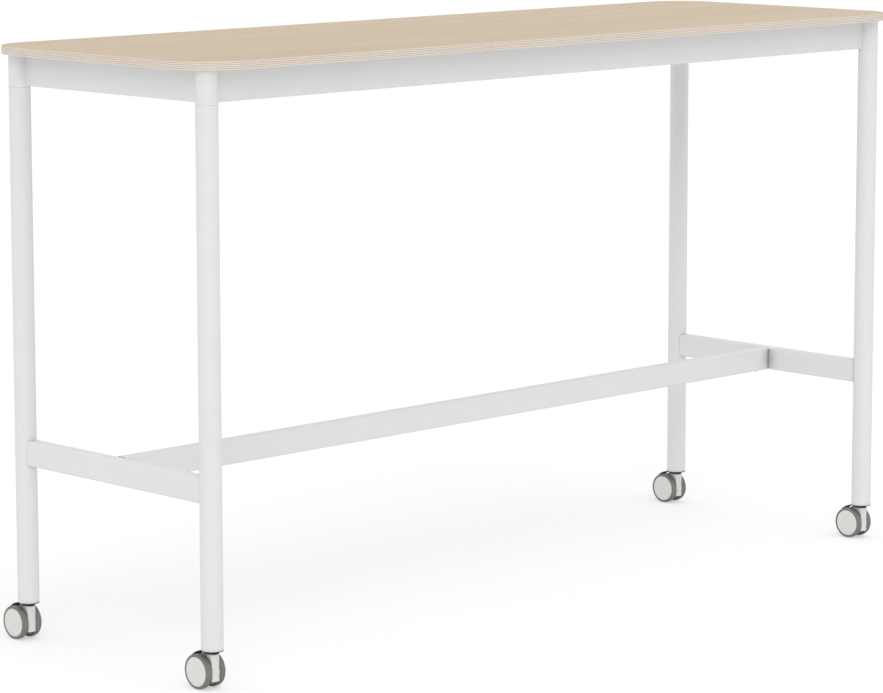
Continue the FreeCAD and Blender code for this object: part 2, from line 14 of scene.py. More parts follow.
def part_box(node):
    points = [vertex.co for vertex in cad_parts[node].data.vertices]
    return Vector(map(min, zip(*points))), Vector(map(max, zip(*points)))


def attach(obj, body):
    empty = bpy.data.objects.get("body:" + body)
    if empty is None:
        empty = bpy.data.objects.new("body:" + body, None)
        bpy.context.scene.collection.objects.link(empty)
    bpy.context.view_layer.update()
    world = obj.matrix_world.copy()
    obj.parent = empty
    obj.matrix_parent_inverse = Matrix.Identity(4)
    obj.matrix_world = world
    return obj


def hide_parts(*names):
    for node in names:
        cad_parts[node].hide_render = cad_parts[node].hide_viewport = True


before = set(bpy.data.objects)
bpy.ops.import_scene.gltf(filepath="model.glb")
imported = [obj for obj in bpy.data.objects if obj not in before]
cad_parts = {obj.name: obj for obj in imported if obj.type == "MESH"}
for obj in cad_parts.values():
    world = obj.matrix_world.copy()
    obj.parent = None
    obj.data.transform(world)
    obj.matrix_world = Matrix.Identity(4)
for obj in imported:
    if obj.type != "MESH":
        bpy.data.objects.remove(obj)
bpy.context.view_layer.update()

bl_info = {
    "name": "Mobile high table",
    "version": (1, 0, 0),
    "blender": (4, 5, 0),
    "location": "3D View > Sidebar > High table",
    "description": "Builds the visible pieces and finishes of a mobile high table around its packed model",
    "category": "Add Mesh",
}

TABLE = "table"
CORNERS = ("front_left", "front_right", "back_left", "back_right")
SIDES = {"left": -1, "right": 1}
X = Vector((1, 0, 0))
Y = Vector((0, 1, 0))
Z = Vector((0, 0, 1))

TURNED_SIDES = 96
SCREW_SIDES = 36
CORNER_STEPS = 24
EASE_STEPS = 5
SMOOTH_ANGLE = math.radians(32)
WELD_MERGE = 1e-6
# Ambient occlusion at which the painted shade in inner corners is full, and at which it is gone
PAINTED_SHADE_SPAN = (0.45, 0.85)
WHEEL_CAP_SHARE = 0.2
SENSOR_WIDTH = 36.0

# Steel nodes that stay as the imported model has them
KEPT_STEEL = ("leg_plugs", "leg_bolts", "stretcher_connectors", "castor_stems", "stem_clips")


def length(name, default, description):
    """A size in metres that a user may change."""
    return FloatProperty(name=name, description=description, default=default, min=0.0, precision=5,
                         subtype="DISTANCE", unit="LENGTH")


def colour(name, default, description):
    """A linear colour that a user may change."""
    return FloatVectorProperty(name=name, description=description, default=default, size=3, min=0.0, max=1.0,
                               subtype="COLOR")


def angle(name, default, description):
    """An angle that a user may change; the default is in degrees."""
    return FloatProperty(name=name, description=description, default=math.radians(default), subtype="ANGLE",
                         unit="ROTATION")


class FrameSizes(PropertyGroup):
    """Sizes of the top, the rails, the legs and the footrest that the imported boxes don't give."""

    corner_radius: length("Corner radius", 0.095, "Radius of the top's corners seen from above")
    edge_ease: length("Edge ease", 0.0008, "Rounding along the top's upper and lower edges")
    ply_count: IntProperty(name="Plies", description="Layers of wood in the top", default=9, min=3)
    pale_ply: FloatProperty(name="Pale ply", description="Thickness of a pale ply for each dark one",
                            default=2.0, min=0.1)
    glue_line: length("Glue line", 0.00006, "Depth and half width of the fine groove between two plies")
    tube_wall: length("Tube wall", 0.002, "Wall of the legs, rails and footrest bars")
    tube_end_ease: length("Tube end ease", 0.0012, "Rounding at the legs' cut ends, which shows as a seam")
    rail_end_ease: length("Rail end ease", 0.0006, "Chamfer where the rails butt on the corners")
    rail_round: length("Rail rounding", 0.0012, "Rounding along the rails' edges")
    bar_round: length("Bar rounding", 0.003, "Rounding along the footrest's edges")
    reveal_length: length("Reveal length", 0.0026, "Length of the stretcher's stepped end, its shadow joint")
    reveal_depth: length("Reveal depth", 0.0018, "Depth of the stretcher's shadow joint")
    cope_ease: length("Cope ease", 0.0010, "Chamfer at the end bars' coped ends, which shows as a fine line")
    cope_gap: length("Cope gap", 0.00005, "Space between a coped bar and its leg")
    foot_round: length("Foot rounding", 0.0016, "Rounding under the plug in a leg's foot")


class CastorSizes(PropertyGroup):
    """Sizes of the castors' wheels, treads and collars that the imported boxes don't give."""

    tread_shoulder: length("Tread shoulder", 0.0022, "Rounding at the tread's two shoulders")
    tread_crown: length("Tread crown", 0.0002, "How much the tread falls off towards its shoulders")
    lip_width: length("Lip width", 0.0022, "Width of the slope round a wheel's face")
    lip_drop: length("Lip drop", 0.0005, "Fall of the slope from the face to the rim")
    edge_soft: length("Soft edge", 0.0003, "Small rounding of the wheel's other edges")
    face_dish: length("Face dish", 0.0004, "How much the face falls towards its middle")
    face_thickness: length("Face thickness", 0.003, "Thickness of a wheel's face")
    rim_wall: length("Rim wall", 0.002, "Wall of the rim under the tread")
    hub_radius: length("Hub radius", 0.008, "Radius of the hub inside a wheel")
    running_gap: length("Running gap", 0.00005, "Clearance between axle and hub")
    collar_neck_radius: length("Neck radius", 0.012, "Radius of the collar's neck on the hood")
    collar_plate: length("Collar plate", 0.0012, "Thickness of the collar's plate under the leg")
    collar_bore: length("Collar bore", 0.00455, "Radius of the stem's hole in the collar")
    grip_bore: length("Grip bore", 0.00555, "Radius of the stem's hole in a leg's foot plug")


class FastenerSizes(PropertyGroup):
    """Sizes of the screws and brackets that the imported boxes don't give."""

    head_height: length("Head height", 0.0026, "Height of a screw's head")
    head_round: length("Head rounding", 0.0017, "Rounding over a screw's head")
    head_edge: length("Head edge", 0.0003, "Rounding at the head's lower edge and at the key hole's rim")
    key_depth: length("Key depth", 0.0016, "Depth of a screw's hexagon key hole")
    key_share: FloatProperty(name="Key share", description="Key hole's width as a share of the head's",
                             default=0.54, min=0.1, max=0.8, subtype="FACTOR")
    shank_share: FloatProperty(name="Shank share", description="Shank's width as a share of the head's",
                               default=1 / 1.8, min=0.2, max=0.9, subtype="FACTOR")
    tip_share: FloatProperty(name="Tip share", description="Tip's width as a share of the shank's",
                             default=0.6, min=0.1, max=1.0, subtype="FACTOR")
    bracket_thickness: length("Bracket thickness", 0.0025, "Thickness of the steel angles under the top")
    bracket_bend: length("Bracket bend", 0.0035, "Outer radius of the angles' bend")
    bracket_crook: length("Bracket crook", 0.0010, "Inner radius of the angles' bend")


class Finishes(PropertyGroup):
    """Colours of the finishes, linear."""

    veneer_dark: colour("Veneer, dark grain", (0.498, 0.381, 0.246), "Late wood in the top's face")
    veneer_light: colour("Veneer, light grain", (0.596, 0.473, 0.318), "Early wood in the top's face")
    ply_light: colour("Ply, long grain", (0.825, 0.745, 0.665), "The paler plies at the top's edge")
    ply_dark: colour("Ply, end grain", (0.500, 0.390, 0.300), "The darker plies at the top's edge")
    backing: colour("Backing", (0.720, 0.712, 0.695), "Plain pale sheet under the top")
    frame_white: colour("Powder coat", (0.780, 0.780, 0.780), "The tube frame")
    plastic_white: colour("White plastic", (0.745, 0.737, 0.715), "Castor hoods, wheel faces and foot plugs")
    tread_grey: colour("Tread", (0.190, 0.187, 0.178), "Soft treads on the wheels")
    pedal_grey: colour("Pedal", (0.150, 0.149, 0.144), "Brake pedals")
    collar_black: colour("Collar", (0.014, 0.014, 0.014), "Swivel collars")
    zinc: colour("Zinc plate", (0.600, 0.610, 0.620), "Screws, brackets, bolts, stems and axles")


class StageSettings(PropertyGroup):
    """The floor, the lights and the camera."""

    floor_width: length("Floor width", 80.0, "Side of the square floor")
    floor_drop: length("Floor drop", 0.0002, "How far the floor lies under the treads")
    floor_glow: FloatProperty(name="Floor glow", description="White that the floor shows by itself",
                              default=0.469, min=0.0, max=1.0, subtype="FACTOR")
    floor_tone: FloatProperty(name="Floor tone", description="Share of light that the floor shows",
                              default=0.55, min=0.0, max=1.0, subtype="FACTOR")
    floor_bounce: FloatProperty(name="Floor bounce", description="Share of light that the floor sends up",
                                default=0.85, min=0.0, max=1.0, subtype="FACTOR")
    dome_light: FloatProperty(name="Dome", description="Light from the white surroundings", default=0.84,
                              min=0.0)
    key_strength: FloatProperty(name="Key lamp", description="Soft light from the camera's side",
                                default=0.532, min=0.0)
    key_heading: angle("Key heading", 47.0, "Turn of the key light from +Y towards +X")
    key_height: angle("Key height", 30.0, "Height of the key light above the horizon")
    key_spread: angle("Key spread", 30.0, "How wide the key light looks from the table")
    over_strength: FloatProperty(name="Overhead lamp", description="Soft light from above the table's front",
                                 default=0.35, min=0.0)
    over_heading: angle("Overhead heading", 0.0, "Turn of the overhead light from +Y towards +X")
    over_height: angle("Overhead height", 72.0, "Height of the overhead light above the horizon")
    over_spread: angle("Overhead spread", 30.0, "How wide the overhead light looks from the table")
    camera_place: FloatVectorProperty(name="Camera", description="Where the camera stands", subtype="XYZ",
                                      unit="LENGTH", default=(-4.8565, -4.8628, 1.5725))
    camera_heading: angle("Heading", 44.4816, "Camera's turn from +Y towards +X")
    camera_tilt: angle("Tilt", -8.043, "Camera's tilt above the horizon")
    camera_roll: angle("Roll", -0.064, "Camera's turn about its own line of sight")
    camera_lens: FloatProperty(name="Lens", description="Focal length for a 36 mm wide picture",
                               default=144.427, unit="CAMERA")
    camera_shift: FloatProperty(name="Shift", description="Upright shift as a share of the picture's width",
                                default=-0.07)


# Finishes

GRAIN_SHARES = {"broad": 0.45, "streak": 0.35, "fine": 0.20}
GRAIN_SPAN = (0.34, 0.50, 0.64)
CLOUD_CYCLES = 14.0
CLOUD_SHARE = 0.6
SPECKLE_SPAN = (0.34, 0.66)
GLOSS_SPREAD = 0.05


class Nodes:
    """A node tree with short calls that add and feed nodes."""

    def __init__(self, tree):
        self.tree = tree

    def feed(self, node, inputs):
        """Sets a node's inputs, by name or number, to values or to other nodes' outputs."""
        for socket, value in inputs.items():
            if isinstance(value, bpy.types.NodeSocket):
                self.tree.links.new(value, node.inputs[socket])
            else:
                node.inputs[socket].default_value = value

    def add(self, kind, inputs, **settings):
        """A new node with its settings and inputs; gives back its outputs."""
        node = self.tree.nodes.new("ShaderNode" + kind)
        for key, value in settings.items():
            setattr(node, key, value)
        self.feed(node, inputs)
        return node.outputs

    def math(self, operation, first, second):
        """One operation on two values."""
        return self.add("Math", {0: first, 1: second}, operation=operation)["Value"]

    def seen_directly(self):
        """1 for rays from the camera and for those that a mirror or glass passes on, otherwise 0."""
        path = self.add("LightPath", {})
        mirrored = self.math("MAXIMUM", path["Is Glossy Ray"], path["Is Transmission Ray"])
        return self.math("MAXIMUM", path["Is Camera Ray"], mirrored)


class Finish(Nodes):
    """A material in the making, with its Principled shader."""

    def __init__(self, name):
        self.material = bpy.data.materials.new(name)
        self.material.use_nodes = True
        super().__init__(self.material.node_tree)
        self.shader = self.tree.nodes["Principled BSDF"]

    def set(self, **inputs):
        """Sets inputs of the Principled shader; an underscore stands for a space."""
        self.feed(self.shader, {key.replace("_", " "): value for key, value in inputs.items()})

    def noise(self, stretch, detail=3.0, distortion=0.0):
        """Noise with this many cycles to the metre along X, Y and Z."""
        point = self.add("TexCoord", {})["Object"]
        point = self.add("Mapping", {"Vector": point, "Scale": stretch})["Vector"]
        inputs = {"Vector": point, "Scale": 1.0, "Detail": detail, "Distortion": distortion}
        return self.add("TexNoise", inputs)["Fac"]

    def ramp(self, factor, stops, interpolation="LINEAR"):
        """A colour for each value of a factor, from (place, colour) stops."""
        outputs = self.add("ValToRGB", {"Fac": factor})
        band = outputs[0].node.color_ramp
        band.interpolation = interpolation
        while len(band.elements) < len(stops):
            band.elements.new(1.0)
        for element, (place, tone) in zip(band.elements, stops):
            element.position = place
            element.color = (*tone, 1.0)
        return outputs["Color"]

    def span(self, factor, low, high, start=0.3, end=0.7):
        """A factor from start to end stretched to run from low to high."""
        inputs = {"Value": factor, "From Min": start, "From Max": end, "To Min": low, "To Max": high}
        return self.add("MapRange", inputs)["Result"]

    def bump(self, height, distance, strength=1.0):
        """A surface normal from a height between 0 and 1."""
        return self.add("Bump", {"Height": height, "Distance": distance, "Strength": strength})["Normal"]

    def multiply(self, tone, factor):
        """A colour made darker by a factor."""
        outputs = self.add("VectorMath", {0: tone, 1: factor}, operation="MULTIPLY")
        return outputs["Vector"]


def shade(tone, factor):
    """A colour times a number."""
    return tuple(channel * factor for channel in tone)


def veneer_finish(colours):
    """Pale lacquered veneer with quiet straight grain along X and short fine pores."""
    finish = Finish("pale_veneer")
    broad = finish.noise((0.7, 9.0, 9.0), detail=2.0, distortion=0.4)
    streak = finish.noise((5.0, 130.0, 130.0), detail=4.0, distortion=0.2)
    fine = finish.noise((22.0, 900.0, 900.0), detail=2.0)
    pores = finish.noise((45.0, 1700.0, 1700.0), detail=1.0)
    broad_part = finish.math("MULTIPLY", broad, GRAIN_SHARES["broad"])
    streak_part = finish.math("MULTIPLY", streak, GRAIN_SHARES["streak"])
    fine_part = finish.math("MULTIPLY", fine, GRAIN_SHARES["fine"])
    figure = finish.math("ADD", finish.math("ADD", broad_part, streak_part), fine_part)
    middle = tuple((a + b) / 2 for a, b in zip(colours.veneer_dark, colours.veneer_light))
    tone = finish.ramp(figure, list(zip(GRAIN_SPAN, (colours.veneer_dark, middle, colours.veneer_light))))
    pore_shade = finish.span(pores, 0.86, 1.0, start=0.30, end=0.40)
    finish.set(
        Base_Color=finish.multiply(tone, pore_shade),
        Roughness=finish.span(streak, 0.42, 0.54),
        Normal=finish.bump(finish.math("MULTIPLY", fine, pore_shade), 0.00006),
        Specular_IOR_Level=0.35,
    )
    return finish.material


def ply_seams(sizes):
    """Where each ply starts, as shares of the top's thickness; pale and dark plies take turns."""
    weights = [1.0 if ply % 2 else sizes.pale_ply for ply in range(sizes.ply_count)]
    return [sum(weights[:ply]) / sum(weights) for ply in range(sizes.ply_count)]


def ply_edge_finish(colours, low, high, seams):
    """The cut edge of plywood: pale long-grain plies between thinner darker ones, with fine fibres."""
    finish = Finish("ply_edge")
    point = finish.add("TexCoord", {})["Object"]
    height = finish.add("SeparateXYZ", {"Vector": point})["Z"]
    fibre = finish.noise((70.0, 70.0, 1400.0), detail=3.0)
    waver = finish.span(finish.noise((9.0, 9.0, 9.0), detail=2.0), -0.00004, 0.00004)
    share = finish.span(finish.math("ADD", height, waver), 0.0, 1.0, start=low, end=high)
    stops = []
    for ply, start in enumerate(seams):
        stops.append((start, colours.ply_dark if ply % 2 else colours.ply_light))
    bands = finish.ramp(share, stops, interpolation="CONSTANT")
    finish.set(
        Base_Color=finish.multiply(bands, finish.span(fibre, 0.88, 1.06)),
        Roughness=finish.span(fibre, 0.50, 0.66),
        Normal=finish.bump(fibre, 0.00008),
        Specular_IOR_Level=0.3,
    )
    return finish.material


SPECKLED_FINISHES = {
    "backing_sheet": dict(colour="backing", roughness=0.55, variation=0.02, texture=900.0, relief=0.00003,
                          specular=0.35),
    "powder_coat": dict(colour="frame_white", roughness=0.48, variation=0.012, texture=1500.0, relief=0.00003,
                        specular=0.4),
    # The frame's coat with shade painted into its inner corners
    "footrest_coat": dict(colour="frame_white", roughness=0.48, variation=0.012, texture=1500.0,
                          relief=0.00003, specular=0.4, painted_corner_shade=0.5, reach=0.060),
    "satin_plastic": dict(colour="plastic_white", roughness=0.40, variation=0.02, texture=2600.0,
                          relief=0.00002),
    # The white plastic with shade painted into its inner corners
    "hood_plastic": dict(colour="plastic_white", roughness=0.40, variation=0.02, texture=2600.0,
                         relief=0.00002, painted_corner_shade=0.75, reach=0.010),
    "tread_rubber": dict(colour="tread_grey", roughness=0.62, variation=0.10, texture=1900.0, relief=0.00006,
                         specular=0.4),
    "pedal_plastic": dict(colour="pedal_grey", roughness=0.46, variation=0.08, texture=2200.0,
                          relief=0.00004),
    "collar_plastic": dict(colour="collar_black", roughness=0.44, variation=0.10, texture=2200.0,
                           relief=0.00003),
}


def speckled_finish(name, tone, roughness, variation, texture, relief, specular=0.5, painted_corner_shade=0.0, reach=0.02):
    """A moulded, coated or soft surface: a near-even colour, a fine texture and a slightly uneven gloss.

    Above 0, shade is painted into the colour: inner corners, found by ambient occlusion, are that much
    darker, fading over the reach.
    """
    finish = Finish(name)
    cloud = finish.noise((CLOUD_CYCLES, CLOUD_CYCLES, CLOUD_CYCLES), detail=3.0)
    grit = finish.noise((texture, texture, texture), detail=2.0)
    cloud_part = finish.math("MULTIPLY", cloud, CLOUD_SHARE)
    grit_part = finish.math("MULTIPLY", grit, 1 - CLOUD_SHARE)
    tones = (shade(tone, 1 - variation), shade(tone, 1 + variation))
    colour_here = finish.ramp(finish.math("ADD", cloud_part, grit_part), list(zip(SPECKLE_SPAN, tones)))
    # Painted shade: ambient occlusion darkens the colour in inner corners
    if painted_corner_shade > 0:
        open_share = finish.add("AmbientOcclusion", {"Distance": reach})["AO"]
        painted_shade_factor = finish.span(open_share, 1 - painted_corner_shade, 1.0, start=PAINTED_SHADE_SPAN[0], end=PAINTED_SHADE_SPAN[1])
        colour_here = finish.multiply(colour_here, painted_shade_factor)
    finish.set(
        Base_Color=colour_here,
        Roughness=finish.span(grit, roughness - GLOSS_SPREAD, roughness + GLOSS_SPREAD),
        Normal=finish.bump(grit, relief),
        Specular_IOR_Level=specular,
    )
    return finish.material


def zinc_finish(tone):
    """Zinc-plated steel with faint drawn lines and cloudy gloss."""
    finish = Finish("zinc_plate")
    cloud = finish.noise((160.0, 160.0, 160.0), detail=4.0)
    drawn = finish.noise((60.0, 2200.0, 2200.0), detail=2.0)
    finish.set(
        Base_Color=finish.ramp(cloud, [(0.3, shade(tone, 0.86)), (0.7, shade(tone, 1.08))]),
        Roughness=finish.span(drawn, 0.30, 0.46),
        Normal=finish.bump(drawn, 0.00002),
        Metallic=1.0,
    )
    return finish.material


MADE_FINISHES = set()


def finish_named(name):
    """A finish by name, made the first time that a piece asks for it."""
    if name in bpy.data.materials and name in MADE_FINISHES:
        return bpy.data.materials[name]
    colours = bpy.context.scene.table_finishes
    MADE_FINISHES.add(name)
    if name == "pale_veneer":
        return veneer_finish(colours)
    if name == "ply_edge":
        low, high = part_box("table_top")
        return ply_edge_finish(colours, low.z, high.z, ply_seams(bpy.context.scene.table_frame_sizes))
    if name == "zinc_plate":
        return zinc_finish(colours.zinc)
    values = dict(SPECKLED_FINISHES[name])
    tone = getattr(colours, values.pop("colour"))
    return speckled_finish(name, tone, **values)


# Shapes

def rounded(corners, steps, closed=True):
    """An outline through (x, y, radius) corners, each rounded by an arc of its radius."""
    outline = []
    for place, (x, y, radius) in enumerate(corners):
        corner = Vector((x, y))
        is_end = not closed and place in (0, len(corners) - 1)
        if radius == 0 or is_end:
            outline.append(corner)
            continue
        back = (Vector(corners[place - 1][:2]) - corner).normalized()
        onward = (Vector(corners[(place + 1) % len(corners)][:2]) - corner).normalized()
        half = back.angle(onward) / 2
        centre = corner + (back + onward).normalized() * (radius / math.sin(half))
        first = corner + back * (radius / math.tan(half)) - centre
        last = corner + onward * (radius / math.tan(half)) - centre
        sweep = math.copysign(math.pi - 2 * half, first.x * last.y - first.y * last.x)
        for step in range(steps + 1):
            turn = sweep * step / steps
            cos, sin = math.cos(turn), math.sin(turn)
            outline.append(centre + Vector((cos * first.x - sin * first.y, sin * first.x + cos * first.y)))
    return outline


def rounded_rectangle(half_width, half_height, radius, steps):
    """A rectangle round the origin with round corners."""
    corners = [(-half_width, -half_height), (half_width, -half_height), (half_width, half_height),
               (-half_width, half_height)]
    return rounded([(x, y, radius) for x, y in corners], steps)


def add_loft(shape, rings, closed):
    """Adds quads between rings of points to a bmesh; a closed loft joins its ends, an open one is capped."""
    rows = [[shape.verts.new(point) for point in ring] for ring in rings]
    pairs = list(zip(rows, rows[1:]))
    if closed:
        pairs.append((rows[-1], rows[0]))
    for low, high in pairs:
        for place in range(len(low)):
            after = (place + 1) % len(low)
            shape.faces.new((low[place], low[after], high[after], high[place]))
    if not closed:
        shape.faces.new(rows[0][::-1])
        shape.faces.new(rows[-1])


def turned_rings(profile, centre, direction, sides):
    """Rings for (along, radius) points turned about a line through a centre."""
    across = direction.orthogonal().normalized()
    beside = direction.cross(across)
    rings = []
    for along, radius in profile:
        ring = []
        for side in range(sides):
            turn = 2 * math.pi * side / sides
            spoke = across * math.cos(turn) + beside * math.sin(turn)
            ring.append(centre + direction * along + spoke * radius)
        rings.append(ring)
    return rings


def hexagon_ring(centre, direction, apothem, along, sides):
    """A ring of points on a hexagon across a line, for a screw's key hole."""
    across = direction.orthogonal().normalized()
    beside = direction.cross(across)
    sixth = math.pi / 3
    ring = []
    for side in range(sides):
        turn = 2 * math.pi * side / sides
        radius = apothem / math.cos(turn % sixth - sixth / 2)
        spoke = across * math.cos(turn) + beside * math.sin(turn)
        ring.append(centre + direction * along + spoke * radius)
    return ring


def bar_ring(outline, centre, along, across, end):
    """A bar's section as points: end(offset across the bar) gives the place along it."""
    return [centre + along * end(offset) + across * offset + Z * height for offset, height in outline]


def make_piece(name, shape, finishes, replaced, body=TABLE):
    """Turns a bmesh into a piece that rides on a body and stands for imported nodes."""
    bmesh.ops.recalc_face_normals(shape, faces=shape.faces)
    mesh = bpy.data.meshes.new(name)
    shape.to_mesh(mesh)
    shape.free()
    mesh.shade_smooth()
    mesh.set_sharp_from_angle(angle=SMOOTH_ANGLE)
    for finish in finishes:
        mesh.materials.append(finish_named(finish))
    piece = bpy.data.objects.new(name, mesh)
    bpy.context.scene.collection.objects.link(piece)
    even = piece.modifiers.new("flat faces stay flat", "WEIGHTED_NORMAL")
    even.keep_sharp = True
    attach(piece, body)
    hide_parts(*replaced)
    return piece


def dress_node(node, finish):
    """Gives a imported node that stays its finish."""
    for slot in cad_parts[node].material_slots:
        slot.material = finish_named(finish)


def separate_boxes(node):
    """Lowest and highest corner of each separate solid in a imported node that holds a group."""
    shape = bmesh.new()
    shape.from_mesh(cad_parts[node].data)
    bmesh.ops.remove_doubles(shape, verts=shape.verts, dist=WELD_MERGE)
    left = set(shape.verts)
    boxes = []
    while left:
        found = {left.pop()}
        edge = list(found)
        while edge:
            vert = edge.pop()
            near = {link.other_vert(vert) for link in vert.link_edges} - found
            found |= near
            edge.extend(near)
        left -= found
        low = Vector(min(vert.co[axis] for vert in found) for axis in range(3))
        high = Vector(max(vert.co[axis] for vert in found) for axis in range(3))
        boxes.append((low, high))
    shape.free()
    return boxes


# Top, rails, legs and footrest

def make_top(sizes):
    """The board: round corners, eased edges and a fine glue line between its plies."""
    low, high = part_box("table_top")
    half = (high - low) / 2
    ease, groove = sizes.edge_ease, sizes.glue_line
    eased = []
    for step in range(EASE_STEPS + 1):
        turn = math.pi / 2 * step / EASE_STEPS
        eased.append((ease * (1 - math.sin(turn)), ease * (1 - math.cos(turn))))
    profile = [(inset, low.z + rise) for inset, rise in eased]
    for start in ply_seams(sizes)[1:]:
        seam = low.z + (high.z - low.z) * start
        profile += [(0, seam - groove), (groove, seam), (0, seam + groove)]
    profile += [(inset, high.z - rise) for inset, rise in reversed(eased)]
    rings = []
    for inset, height in profile:
        outline = rounded_rectangle(half.x - inset, half.y - inset, sizes.corner_radius - inset, CORNER_STEPS)
        rings.append([Vector((x, y, height)) for x, y in outline])
    shape = bmesh.new()
    add_loft(shape, rings, closed=False)
    shape.normal_update()
    steep = math.sin(math.pi / 4)
    for face in shape.faces:
        face.material_index = 0 if face.normal.z > steep else 2 if face.normal.z < -steep else 1
    make_piece("plywood_top", shape, ("pale_veneer", "ply_edge", "backing_sheet"), ["table_top"])


def make_tube(name, node, along, radius, wall, end, coat):
    """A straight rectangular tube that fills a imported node's box, with (inset, place) steps at its ends."""
    low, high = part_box(node)
    middle = (low + high) / 2
    across = Z.cross(along)
    half_length = (high - middle).dot(along)
    half_wide = abs((high - middle).dot(across))
    half_high = high.z - middle.z

    def section(inset):
        """The tube's outline, this far inside its skin."""
        bend = max(radius - inset, radius / 4)
        return rounded_rectangle(half_wide - inset, half_high - inset, bend, EASE_STEPS)

    stations = [(section(inset), place - half_length) for inset, place in end]
    stations += [(section(inset), half_length - place) for inset, place in reversed(end)]
    stations += [(section(wall), half_length), (section(wall), -half_length)]
    rings = [bar_ring(outline, middle, along, across, lambda offset: place) for outline, place in stations]
    shape = bmesh.new()
    add_loft(shape, rings, closed=True)
    make_piece(name, shape, (coat,), [node])


def make_rails(sizes):
    """The four apron rails between the corner castings."""
    end = [(sizes.rail_end_ease, 0.0), (0.0, sizes.rail_end_ease)]
    for node, along in (("front_rail", X), ("back_rail", X), ("left_end_rail", Y), ("right_end_rail", Y)):
        make_tube(node + "_tube", node, along, sizes.rail_round, sizes.tube_wall, end, "powder_coat")


def make_leg(corner, sizes):
    """A round leg tube with eased ends."""
    node = corner + "_leg"
    low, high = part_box(node)
    centre = (low + high) / 2
    outer = (high.x - low.x) / 2
    inner = outer - sizes.tube_wall
    half, ease = (high.z - low.z) / 2, sizes.tube_end_ease
    corners = [(-half, inner, 0), (-half, outer, ease), (half, outer, ease), (half, inner, 0)]
    shape = bmesh.new()
    add_loft(shape, turned_rings(rounded(corners, EASE_STEPS), centre, Z, TURNED_SIDES), closed=True)
    make_piece(corner + "_leg_tube", shape, ("powder_coat",), [node])


def make_foot_plug(corner, sizes, castors):
    """The plug in a leg's foot: a rounded flange under the tube and a sleeve inside it."""
    node = corner + "_castor_socket"
    low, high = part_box(node)
    leg_low, leg_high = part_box(corner + "_leg")
    centre = Vector(((low.x + high.x) / 2, (low.y + high.y) / 2, low.z))
    outer = (high.x - low.x) / 2
    sleeve = (leg_high.x - leg_low.x) / 2 - sizes.tube_wall - sizes.cope_gap
    flange, top = leg_low.z - low.z, high.z - low.z
    ease = sizes.tube_end_ease
    corners = [(0, castors.grip_bore, 0), (0, outer, sizes.foot_round), (flange, outer, ease),
               (flange, sleeve, 0), (top, sleeve, ease), (top, castors.grip_bore, 0)]
    shape = bmesh.new()
    add_loft(shape, turned_rings(rounded(corners, EASE_STEPS), centre, Z, TURNED_SIDES), closed=True)
    make_piece(corner + "_foot_plug", shape, ("satin_plastic",), [node])


def make_end_bar(side, sizes):
    """A footrest end bar, coped round its two legs, with a fine chamfer at each end."""
    node = side + "_footrest_bar"
    low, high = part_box(node)
    leg_low, leg_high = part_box("front_" + side + "_leg")
    middle = (low + high) / 2
    leg_reach = abs((leg_low.y + leg_high.y) / 2)
    leg_radius = (leg_high.x - leg_low.x) / 2 + sizes.cope_gap
    half_wide, half_high = (high.x - low.x) / 2, (high.z - low.z) / 2
    ease = sizes.cope_ease

    def coped(sign, distance):
        """The place along the bar, at an offset across it, this far from the leg's skin."""
        def place(offset):
            """Where the end lies at this offset from the bar's middle."""
            return sign * (leg_reach - math.sqrt(leg_radius ** 2 - offset ** 2) - distance)
        return place

    def section(inset):
        """The bar's outline, this far inside its skin."""
        return rounded_rectangle(half_wide - inset, half_high - inset, sizes.bar_round - inset, EASE_STEPS)

    hollow = section(sizes.tube_wall)
    stations = [(section(ease), coped(-1, 0)), (section(0), coped(-1, ease)), (section(0), coped(1, ease)),
                (section(ease), coped(1, 0)), (hollow, coped(1, 0)), (hollow, coped(-1, 0))]
    rings = [bar_ring(outline, middle, Y, X, end) for outline, end in stations]
    shape = bmesh.new()
    add_loft(shape, rings, closed=True)
    # The bar's coat has shade painted into its inner corners
    make_piece(side + "_end_bar", shape, ("footrest_coat",), [node])


# Castors

def wheel_place(corner, side):
    """Middle of a castor's axle, and the direction from there to one of its wheels."""
    axle_low, axle_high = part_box(corner + "_castor_axle")
    centre = (axle_low + axle_high) / 2
    return centre, X * SIDES[side]


def make_wheel(corner, side, sizes):
    """A closed wheel: a dished face with a sloping edge, the rim under the tread and a blind hub."""
    node = f"{corner}_castor_{side}_wheel"
    low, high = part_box(node)
    axle_low, axle_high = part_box(corner + "_castor_axle")
    centre, outward = wheel_place(corner, side)
    radius = (high.z - low.z) / 2
    face = max((low - centre).dot(outward), (high - centre).dot(outward))
    inner = min((low - centre).dot(outward), (high - centre).dot(outward))
    axle_radius = (axle_high.z - axle_low.z) / 2
    axle_end = (axle_high.x - axle_low.x) / 2 + sizes.running_gap
    back = face - sizes.face_thickness
    small = sizes.edge_soft
    corners = [
        (face - sizes.face_dish, axle_radius * WHEEL_CAP_SHARE, 0),
        (face, radius - sizes.lip_width, sizes.lip_width),
        (face - sizes.lip_drop, radius, small), (inner, radius, small),
        (inner, radius - sizes.rim_wall, small), (back, radius - sizes.rim_wall, small),
        (back, sizes.hub_radius, small), (inner, sizes.hub_radius, small),
        (inner, axle_radius + sizes.running_gap, 0), (axle_end, axle_radius + sizes.running_gap, 0),
    ]
    shape = bmesh.new()
    profile = rounded(corners, EASE_STEPS, closed=False)
    add_loft(shape, turned_rings(profile, centre, outward, TURNED_SIDES), closed=False)
    body = f"{corner}_castor_{side}_roller"
    make_piece(f"{corner}_{side}_wheel_face", shape, ("satin_plastic",), [node], body)


